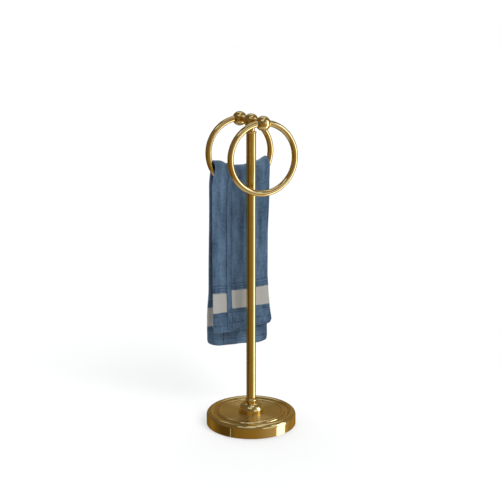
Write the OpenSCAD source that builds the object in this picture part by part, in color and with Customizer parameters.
// Countertop towel ring stand, in millimetres.
// The origin is the middle of the underside. +Z is up and the two arms lie along Y:
// the front arm with its bare ring points to -Y, the rear arm with the towel to +Y.

/* [Base] */
// Outside radius of the base plate
base_radius = 60.5; // [56:0.5:68]
// Height of the plate's rounded shoulder above the table
base_height = 18.7; // [17:0.1:21]
// Radius of that shoulder
base_edge_round = 6; // [5:0.1:6.5]
// Wall of the spun brass plate
base_wall = 1.5; // [1:0.1:1.8]
// Gap between the table and the plate's lower edge
base_lift = 1; // [0.6:0.1:1.3]
// Drop from the shoulder to the narrow land inside it
land_drop = 2.4; // [1.8:0.1:3]
// Radius on which the raised ring's middle lies
ridge_radius = 43; // [38:0.5:48]
// Rounding radius of the raised ring
ridge_round = 4; // [3.5:0.1:4.5]
// How far the middle of that round lies below the land
ridge_sink = 1.5; // [1:0.1:2]
// Drop from the shoulder to the middle seat
seat_drop = 2.2; // [1.6:0.1:2.8]
// Drop from the shoulder to the dish's edge beside the raised ring
dish_drop = 0.9; // [0.5:0.1:1.4]
// How far the middle seat shows round the post's foot
seat_margin = 1.6; // [1:0.1:3]

/* [Felt, weight and nut] */
// Thickness of the felt pad
felt_thickness = 1.5; // [1.4:0.1:2]
// Gap between the plate's wall and what lies inside it
inner_gap = 0.3; // [0.2:0.05:0.5]
// Radius of the pocket for the nut
pocket_radius = 9; // [7.5:0.5:12]
// Thickness of the plain washer and of the spring washer
washer_thickness = 1.6; // [1:0.1:2]
// Outside radius of the plain washer
washer_radius = 6; // [5.5:0.1:7]
// Outside radius of the spring washer
spring_washer_radius = 5.2; // [4.5:0.1:5.4]
// Height of the thin hexagon nut
nut_height = 3.2; // [2.5:0.1:4]
// Width of the nut across its flats
nut_flats = 10; // [9:0.1:11]

/* [Post] */
// Outside radius of the post's tube
post_radius = 6.35; // [6:0.05:7]
// Wall of the post's tube
post_wall = 1; // [0.8:0.1:1.5]
// Radius of the post's domed foot
foot_radius = 16.4; // [14:0.1:18]
// Rounding radius of the domed foot
foot_round = 10.5; // [8:0.1:12]
// Height of the straight lip under the dome
foot_lip = 3; // [0.5:0.1:3.5]
// Largest radius of the collar on the domed foot
collar_radius = 7.9; // [7.7:0.1:9]
// Rounding radius of the collar
collar_round = 2.7; // [2.5:0.1:3.6]
// Height of the plain ring under the collar's round
collar_step = 0.3; // [0.1:0.1:1.5]
// Wall of that plain ring, measured from the tube's outside
collar_wall = 1; // [0.8:0.1:1.2]
// Thickness of the collar's web, which carries the tube
collar_web = 2.4; // [1.5:0.1:3]
// Radius of the bead at the top of the post
cap_bead_radius = 7.2; // [7.1:0.1:8]
// Height of the bead at the top of the post
cap_bead_height = 2.6; // [2:0.1:3.5]
// Radius of the cap's neck where it meets the middle ball
cap_neck_radius = 4.6; // [4.2:0.1:5]
// Length of the cap's neck
cap_neck_length = 5; // [4:0.1:6]
// Length of the spigot inside the tube
cap_spigot_length = 6; // [4:0.5:8]

/* [Rod and studs] */
// Outside radius of the long rod's thread
rod_radius = 3; // [2.8:0.05:3.2]
// Pitch of the threads, drawn as rings
thread_pitch = 1; // [0.8:0.1:1.25]
// Depth of the threads
thread_depth = 0.45; // [0.3:0.05:0.6]
// Length of the rod's lower thread
rod_thread_length = 16; // [12:1:24]
// Outside radius of the arm studs' thread
stud_radius = 2.5; // [2:0.05:2.6]

/* [Arms and balls] */
// Height of the arms' axis above the table
arm_height = 410.5; // [350:0.5:450]
// Distance from the post's axis to each ring ball's centre
arm_length = 36.5; // [32:0.5:40]
// Radius of the three balls
ball_radius = 9.525; // [9.2:0.025:10.5]
// Radius of the arm spacers' ends
spacer_radius = 3.9; // [3.5:0.1:4.3]
// Waist radius of the arm spacers
spacer_waist = 3.3; // [3.1:0.1:3.4]
// Radius of the bead in the middle of the arm spacers
spacer_bead_radius = 4.5; // [4.4:0.1:5.5]
// Depth of the tapped holes, measured from the balls' centres
tapped_stop = 4.2; // [4:0.1:4.6]

/* [Rings] */
// Radius of the ring wire
wire_radius = 3.97; // [3.5:0.01:4.2]
// Radius of the ring, measured to the middle of the wire
ring_radius = 44.7; // [43:0.1:50]
// Distance from the ball's centre at which the wire ends and its pin goes on
end_reach = 7.5; // [7:0.1:8]
// Radius of the pin that is turned on each end of the wire
pin_radius = 2.6; // [2.2:0.05:2.7]
// Half of the gap between the ring's two pins inside the ball
pin_gap = 1.2; // [0.8:0.1:2]
// Radial running clearance of the pins in the ball
pin_clearance = 0.05; // [0.02:0.01:0.1]

/* [Towel] */
// Gap at each side between the towel's fold and the widest part of the ring's inside
towel_side_gap = 2.8; // [2.5:0.1:12]
// Width of the folded towel where its rear panel hangs
towel_width = 87; // [70:1:90]
// How much narrower the front panel hangs than the rear one
front_tuck = 6; // [0:0.5:10]
// Height of the front panel's hem above the table
front_hem_height = 128.5; // [100:0.5:160]
// Height of the rear panel's hem above the table
rear_hem_height = 99.5; // [80:0.5:130]
// Thickness of the towel's folded layers
towel_thickness = 8; // [6:0.1:9]
// How far the fold sags between the ring's sides
towel_sag = 8.5; // [6:0.1:9]
// Gap between the towel and the ring wire
towel_clearance = 0.35; // [0.3:0.05:0.5]
// Gap between the two panels below the ring
panel_gap = 7; // [4:0.1:8]

/* [Hidden] */
$fn = 96;

brass = [0.80, 0.60, 0.25];
iron = [0.22, 0.22, 0.23];
steel = [0.66, 0.67, 0.69];
felt = [0.13, 0.16, 0.13];
terry = [0.36, 0.47, 0.57];

front = -1;
rear = 1;

// Segments round the ring wire in a preview
wire_sides = 32;

// How far a cutting shape runs past the face that it cuts
cut = 1;
// Smallest rounding that the plate's inside keeps
least_round = 0.3;
// Radial clearance of a tapped hole round its thread
thread_clearance = 0.05;
// Radial clearance of a plain hole round a rod or stud
hole_clearance = 0.3;
// Radial clearance of the tube in its collar and of the cap in the tube
socket_clearance = 0.05;
// Gap between the end of a rod or stud and the floor of its tapped hole
hole_end_gap = 0.3;

seat_height = base_height - seat_drop;
seat_radius = foot_radius + seat_margin;
rod_hole = rod_radius + hole_clearance;

// The nut's stack hangs from the top of the weight's pocket
stack_gap = 0.6;
pocket_top = felt_thickness + stack_gap + 2 * washer_thickness + nut_height;
spring_washer_top = pocket_top - washer_thickness;
nut_top = spring_washer_top - washer_thickness;
nut_bottom = nut_top - nut_height;
rod_bottom = nut_bottom - stack_gap / 2;
rod_top = arm_height - tapped_stop - hole_end_gap;

foot_top = seat_height + foot_lip + foot_round;
collar_middle = foot_top + collar_step + collar_round;
collar_top = collar_middle + collar_round;
tube_bottom = foot_top + collar_web;

// A spacer's end lies on a flat that is cut on the ball
arm_flat = sqrt(ball_radius * ball_radius - spacer_radius * spacer_radius);
cap_flat = sqrt(ball_radius * ball_radius - cap_neck_radius * cap_neck_radius);
cap_top = arm_height - cap_flat;
cap_neck_bottom = cap_top - cap_neck_length;
tube_top = cap_neck_bottom - cap_bead_height;
spacer_start = arm_flat;
spacer_end = arm_length - arm_flat;

// The wire ends where it meets the arm's axis, inside the ball
end_angle = asin(end_reach / ring_radius);
ring_centre_height = arm_height - ring_radius * cos(end_angle);
// How far the wire has dropped where it leaves the ball, and the lean of its cut end
wire_drop = ring_radius * cos(end_angle) - sqrt(ring_radius * ring_radius - ball_radius * ball_radius);
end_lean = wire_radius * sin(end_angle);

// Profile of the plate's top, as an area down to a given height: a rounded shoulder,
// a narrow land, a raised ring and a dish that falls gently to the middle seat.
// Inset draws the same shape smaller, for its inside and for the weight.
module plate_area(inset, bottom) {
    round_here = max(base_edge_round - inset, least_round);
    edge = base_radius - inset;
    top = base_height - inset;
    translate([0, bottom])
        square([edge, top - round_here - bottom]);
    translate([0, bottom])
        square([edge - round_here, top - land_drop - bottom]);
    translate([edge - round_here, top - round_here])
        circle(r = round_here);
    translate([ridge_radius, base_height - land_drop - ridge_sink])
        circle(r = ridge_round - inset);
    polygon([
        [0, bottom],
        [ridge_radius, bottom],
        [ridge_radius, top - dish_drop],
        [seat_radius, seat_height - inset],
        [0, seat_height - inset]
    ]);
}

// Ring of rectangular section round the post's axis
module plain_ring(inner, outer, height) {
    rotate_extrude()
        translate([inner, 0])
            square([outer - inner, height]);
}

// Half profile of a rod with a thread at each end, drawn as rings
module threaded_half(radius, length, low_thread, high_thread) {
    root = radius - thread_depth;
    low_count = floor(low_thread / thread_pitch);
    high_count = floor(high_thread / thread_pitch);
    high_start = length - high_count * thread_pitch;
    polygon(concat(
        [[0, 0], [root, 0]],
        [for (i = [0:low_count - 1], part = [0.5, 1])
            [part == 1 ? root : radius, (i + part) * thread_pitch]],
        [[root, high_start]],
        [for (i = [0:high_count - 1], part = [0.5, 1])
            [part == 1 ? root : radius, high_start + (i + part) * thread_pitch]],
        [[0, length]]
    ));
}

// Places a piece that is drawn along +Z from the hub's centre on the front or rear arm
module on_arm(side) {
    translate([0, 0, arm_height])
        rotate([-90 * side, 0, 0])
            children();
}

module base_plate() {
    color(brass)
        rotate_extrude()
            difference() {
                plate_area(0, base_lift);
                plate_area(base_wall, base_lift - cut);
                translate([0, base_lift])
                    square([rod_hole, seat_height]);
            }
}

module base_weight() {
    weight_inset = base_wall + inner_gap;
    color(iron)
        rotate_extrude()
            difference() {
                union() {
                    plate_area(weight_inset, felt_thickness);
                    // The middle seat touches the plate, so the nut can clamp it
                    translate([0, felt_thickness])
                        square([seat_radius - weight_inset, seat_height - base_wall - felt_thickness]);
                }
                square([rod_hole, seat_height + cut]);
                square([pocket_radius, pocket_top]);
            }
}

module felt_pad() {
    color(felt)
        cylinder(r = base_radius - base_wall - inner_gap, h = felt_thickness);
}

module base_washer() {
    color(steel)
        translate([0, 0, spring_washer_top])
            plain_ring(rod_hole, washer_radius, washer_thickness);
}

// The spring washer is a ring with a slit
module spring_washer() {
    slit = 0.8;
    color(steel)
        difference() {
            translate([0, 0, nut_top])
                plain_ring(rod_hole, spring_washer_radius, washer_thickness);
            translate([0, -slit / 2, nut_top - cut])
                cube([washer_radius + cut, slit, washer_thickness + 2 * cut]);
        }
}

module base_nut() {
    six_sides = 6;
    color(steel)
        translate([0, 0, nut_bottom])
            difference() {
                cylinder(r = nut_flats / 2 / cos(180 / six_sides), h = nut_height, $fn = six_sides);
                translate([0, 0, -cut])
                    cylinder(r = rod_radius + thread_clearance, h = nut_height + 2 * cut);
            }
}

module tie_rod() {
    top_thread = ball_radius;
    color(steel)
        translate([0, 0, rod_bottom])
            rotate_extrude()
                threaded_half(rod_radius, rod_top - rod_bottom, rod_thread_length, top_thread);
}

// Domed foot: a lip, a quarter round and a flat top
module post_foot() {
    flat_radius = foot_radius - foot_round;
    color(brass)
        translate([0, 0, seat_height])
            rotate_extrude()
                difference() {
                    union() {
                        square([foot_radius, foot_lip]);
                        square([flat_radius, foot_lip + foot_round]);
                        intersection() {
                            translate([flat_radius, foot_lip])
                                circle(r = foot_round);
                            square([foot_radius, foot_lip + foot_round]);
                        }
                    }
                    square([rod_hole, foot_lip + foot_round + cut]);
                }
}

// The collar carries the tube's lower end on its web
module foot_collar() {
    step_radius = post_radius + collar_wall;
    color(brass)
        rotate_extrude()
            difference() {
                union() {
                    translate([0, foot_top])
                        square([step_radius, collar_middle - foot_top]);
                    translate([collar_radius - collar_round, collar_middle])
                        circle(r = collar_round);
                }
                translate([0, foot_top - cut])
                    square([rod_hole, tube_bottom - foot_top + 2 * cut]);
                translate([0, tube_bottom])
                    square([post_radius + socket_clearance, collar_top]);
            }
}

module post_tube() {
    color(brass)
        translate([0, 0, tube_bottom])
            plain_ring(post_radius - post_wall, post_radius, tube_top - tube_bottom);
}

// Cap: a spigot in the tube, a rounded bead and a coved neck
module post_cap() {
    spigot_radius = post_radius - post_wall - socket_clearance;
    bead_round = cap_bead_height / 2;
    cove = cap_bead_radius - cap_neck_radius - bead_round;
    color(brass)
        rotate_extrude()
            difference() {
                union() {
                    translate([0, tube_top - cap_spigot_length])
                        square([spigot_radius, cap_spigot_length]);
                    translate([0, tube_top])
                        square([cap_bead_radius - bead_round, cap_bead_height]);
                    translate([cap_bead_radius - bead_round, tube_top + bead_round])
                        circle(r = bead_round);
                    translate([0, cap_neck_bottom])
                        square([cap_neck_radius, cap_neck_length]);
                    difference() {
                        translate([0, cap_neck_bottom])
                            square([cap_neck_radius + cove, cove]);
                        translate([cap_neck_radius + cove, cap_neck_bottom + cove])
                            circle(r = cove);
                    }
                }
                translate([0, tube_top - cap_spigot_length - cut])
                    square([rod_hole, arm_height]);
            }
}

// Ball with a flat for each piece that is screwed against it
module hub_ball() {
    stud_bore = stud_radius + thread_clearance;
    rod_bore = rod_radius + thread_clearance;
    color(brass)
        translate([0, 0, arm_height])
            difference() {
                sphere(r = ball_radius);
                for (side = [front, rear]) {
                    rotate([-90 * side, 0, 0])
                        translate([0, 0, arm_flat])
                            cylinder(r = ball_radius, h = ball_radius);
                    rotate([-90 * side, 0, 0])
                        translate([0, 0, tapped_stop])
                            cylinder(r = stud_bore, h = ball_radius);
                }
                translate([0, 0, -cap_flat - ball_radius])
                    cylinder(r = ball_radius, h = ball_radius);
                translate([0, 0, -tapped_stop - ball_radius])
                    cylinder(r = rod_bore, h = ball_radius);
            }
}

// Turned spacer: a lip at each end, a waist and a middle bead
module arm_spacer() {
    length = spacer_end - spacer_start;
    lip = 1.4;
    bead_round = spacer_bead_radius - spacer_waist;
    color(brass)
        translate([0, 0, spacer_start])
            rotate_extrude()
                difference() {
                    union() {
                        square([spacer_waist, length]);
                        square([spacer_radius, lip]);
                        translate([0, length - lip])
                            square([spacer_radius, lip]);
                        translate([spacer_waist, length / 2])
                            circle(r = bead_round);
                    }
                    translate([0, -cut])
                        square([stud_radius + hole_clearance, length + 2 * cut]);
                }
}

// The stud runs from the hub's tapped hole through the spacer into the ring ball
module arm_stud() {
    stop = tapped_stop + hole_end_gap;
    length = arm_length - 2 * stop;
    thread = ball_radius - stop;
    color(steel)
        translate([0, 0, stop])
            rotate_extrude()
                threaded_half(stud_radius, length, thread, thread);
}

// Ring ball: a flat, a tapped hole and a cross bore whose wide mouths clear the wire's curve
module ring_ball() {
    bore = pin_radius + pin_clearance;
    mouth_clearance = 0.25;
    mouth = wire_radius + wire_drop + mouth_clearance;
    mouth_floor = end_reach - end_lean - mouth_clearance;
    color(brass)
        translate([0, 0, arm_length])
            difference() {
                sphere(r = ball_radius);
                translate([0, 0, -arm_flat - ball_radius])
                    cylinder(r = ball_radius, h = ball_radius);
                translate([0, 0, -tapped_stop - ball_radius])
                    cylinder(r = stud_radius + thread_clearance, h = ball_radius);
                rotate([0, 90, 0])
                    translate([0, 0, -ball_radius])
                        cylinder(r = bore, h = 2 * ball_radius);
                for (turn = [90, -90])
                    rotate([0, turn, 0])
                        translate([0, 0, mouth_floor])
                            cylinder(r = mouth, h = ball_radius);
            }
}

// Open hoop in the XZ plane: one arc of wire with a pin turned on each of its ends
module wire_ring(side) {
    pin_root = end_reach + end_lean;
    color(brass)
        translate([0, side * arm_length, 0]) {
            translate([0, 0, ring_centre_height])
                rotate([90, 0, 0])
                    rotate([0, 0, 90 + end_angle])
                        rotate_extrude(angle = 360 - 2 * end_angle)
                            translate([ring_radius, 0])
                                circle(r = wire_radius, $fn = wire_sides);
            for (turn = [90, -90])
                translate([0, 0, arm_height])
                    rotate([0, turn, 0])
                        translate([0, 0, pin_gap])
                            cylinder(r = pin_radius, h = pin_root - pin_gap, $fn = wire_sides);
        }
}

module front_spacer() {
    on_arm(front)
        arm_spacer();
}

module front_stud() {
    on_arm(front)
        arm_stud();
}

module front_ball() {
    on_arm(front)
        ring_ball();
}

module front_ring() {
    wire_ring(front);
}

module rear_spacer() {
    on_arm(rear)
        arm_spacer();
}

module rear_stud() {
    on_arm(rear)
        arm_stud();
}

module rear_ball() {
    on_arm(rear)
        ring_ball();
}

module rear_ring() {
    wire_ring(rear);
}

// The towel is one closed skin. Rows run from the front hem up through the ring and
// down to the rear hem, and columns run across it. The inner skin faces the ring.

// Half widths of the towel, inside the ring and where it hangs
wire_inner = ring_radius - wire_radius;
fold_half = wire_inner - towel_side_gap;
hang_half = towel_width / 2;
// Half of the room that the towel leaves for the wire between its panels
wire_room = wire_radius + towel_clearance;
// The fold's underside rests on the wire's inner edge at the towel's two sides
rest_height = ring_centre_height - sqrt(wire_inner * wire_inner - fold_half * fold_half) + towel_clearance;
arch_height = rest_height - towel_sag - wire_room;
ring_bottom = ring_centre_height - ring_radius - wire_radius;

// Rows of each panel, and of the arch over the ring
panel_rows = 9;
arch_rows = 8;
// The towel is folded into four layers, and the outer one ends at a free edge left of the middle.
// Each column has its place across the towel from -1 to 1, and its share of the full thickness.
pleats = [
    [-1.00, 0.40], [-0.985, 0.56], [-0.95, 0.68], [-0.88, 0.74], [-0.76, 0.75], [-0.64, 0.74], [-0.53, 0.75],
    [-0.52, 0.96], [-0.46, 1.00], [-0.30, 0.98], [-0.10, 1.00], [0.12, 0.98], [0.35, 1.00], [0.60, 0.98],
    [0.80, 1.00], [0.94, 0.94], [0.98, 0.78], [1.00, 0.45]
];
columns = len(pleats);
rows = 2 * panel_rows + arch_rows - 1;

// The front panel is drawn in at its right side, and its hem rises towards that side
front_half = hang_half - front_tuck / 2;
front_shift = -front_tuck / 2;
front_hem_tilt = 3.5;
// Rise of both hems at their rounded corners, and how sharply they round
corner_rise = 4;
corner_sharpness = 6;

function mix(from, to, share) = from + (to - from) * share;
function ease(share) = share * share * (3 - 2 * share);

// Half gap between the panels: the wire's room beside the ring, the panel gap further down
function half_gap(height) =
    height >= ring_bottom ? wire_room
    : mix(wire_room, panel_gap / 2, ease(min(1, (ring_bottom - height) / ring_radius)));

// Share of the way from inside the ring to the hanging width
function hang_share(height, sag) =
    ease(max(0, min(1, (arch_height + sag - height) / (arch_height - ring_bottom))));

// Sag of the fold across the towel
function sag_at(across) = towel_sag * across * across;

// Height of a panel's row
function row_height(hem, sag, step) =
    mix(hem, arch_height + sag, step / (panel_rows - 1));

// One point of the inner or outer skin. Thick is 0 for the inner skin.
function panel_point(side, across, step, thick) =
    let (
        sag = sag_at(across),
        hem_line = side == front ? front_hem_height + front_hem_tilt * across : rear_hem_height,
        hem = hem_line + corner_rise * pow(across, corner_sharpness),
        height = row_height(hem, sag, step),
        share = hang_share(height, sag),
        shift = side == front ? front_shift * share : 0,
        half = mix(fold_half, side == front ? front_half : hang_half, share),
        away = half_gap(height) + thick
    )
    [shift + half * across, rear * arm_length + side * away, height];

function arch_point(across, turn, thick) =
    let (
        reach = wire_room + thick,
        height = arch_height + sag_at(across)
    )
    [fold_half * across, rear * arm_length - reach * cos(turn), height + reach * sin(turn)];

// Thickness of the folded layers at a column
function layer_thick(column) = towel_thickness * pleats[column][1];

function skin_point(column, row, outer) =
    let (
        across = pleats[column][0],
        thick = outer ? layer_thick(column) : 0,
        turn = 180 * (row - panel_rows + 1) / arch_rows
    )
    row < panel_rows ? panel_point(front, across, row, thick)
    : row < panel_rows + arch_rows - 1 ? arch_point(across, turn, thick)
    : panel_point(rear, across, rows - 1 - row, thick);

function skin(outer) = [for (row = [0:rows - 1], column = [0:columns - 1]) skin_point(column, row, outer)];

// Two triangles for each cell of a skin, turned round for the inner skin
function cell(a, b, c, d, flip) = flip ? [[a, b, c], [b, d, c]] : [[a, c, b], [b, c, d]];

module towel() {
    count = rows * columns;
    outer_faces = [for (row = [0:rows - 2], column = [0:columns - 2])
        each cell(row * columns + column, row * columns + column + 1,
            (row + 1) * columns + column, (row + 1) * columns + column + 1, false)];
    inner_faces = [for (row = [0:rows - 2], column = [0:columns - 2])
        each cell(count + row * columns + column, count + row * columns + column + 1,
            count + (row + 1) * columns + column, count + (row + 1) * columns + column + 1, true)];
    left_faces = [for (row = [0:rows - 2])
        each cell(row * columns, (row + 1) * columns,
            count + row * columns, count + (row + 1) * columns, false)];
    right_faces = [for (row = [0:rows - 2])
        each cell(row * columns + columns - 1, (row + 1) * columns + columns - 1,
            count + row * columns + columns - 1, count + (row + 1) * columns + columns - 1, true)];
    front_hem_faces = [for (column = [0:columns - 2])
        each cell(column, column + 1, count + column, count + column + 1, true)];
    last = (rows - 1) * columns;
    rear_hem_faces = [for (column = [0:columns - 2])
        each cell(last + column, last + column + 1,
            count + last + column, count + last + column + 1, false)];
    color(terry)
        polyhedron(
            points = concat(skin(true), skin(false)),
            faces = concat(outer_faces, inner_faces, left_faces, right_faces, front_hem_faces, rear_hem_faces),
            convexity = 8
        );
}

base_plate();
base_weight();
felt_pad();
base_washer();
spring_washer();
base_nut();
tie_rod();
post_foot();
foot_collar();
post_tube();
post_cap();
hub_ball();
front_spacer();
front_stud();
front_ball();
front_ring();
rear_spacer();
rear_stud();
rear_ball();
rear_ring();
towel();
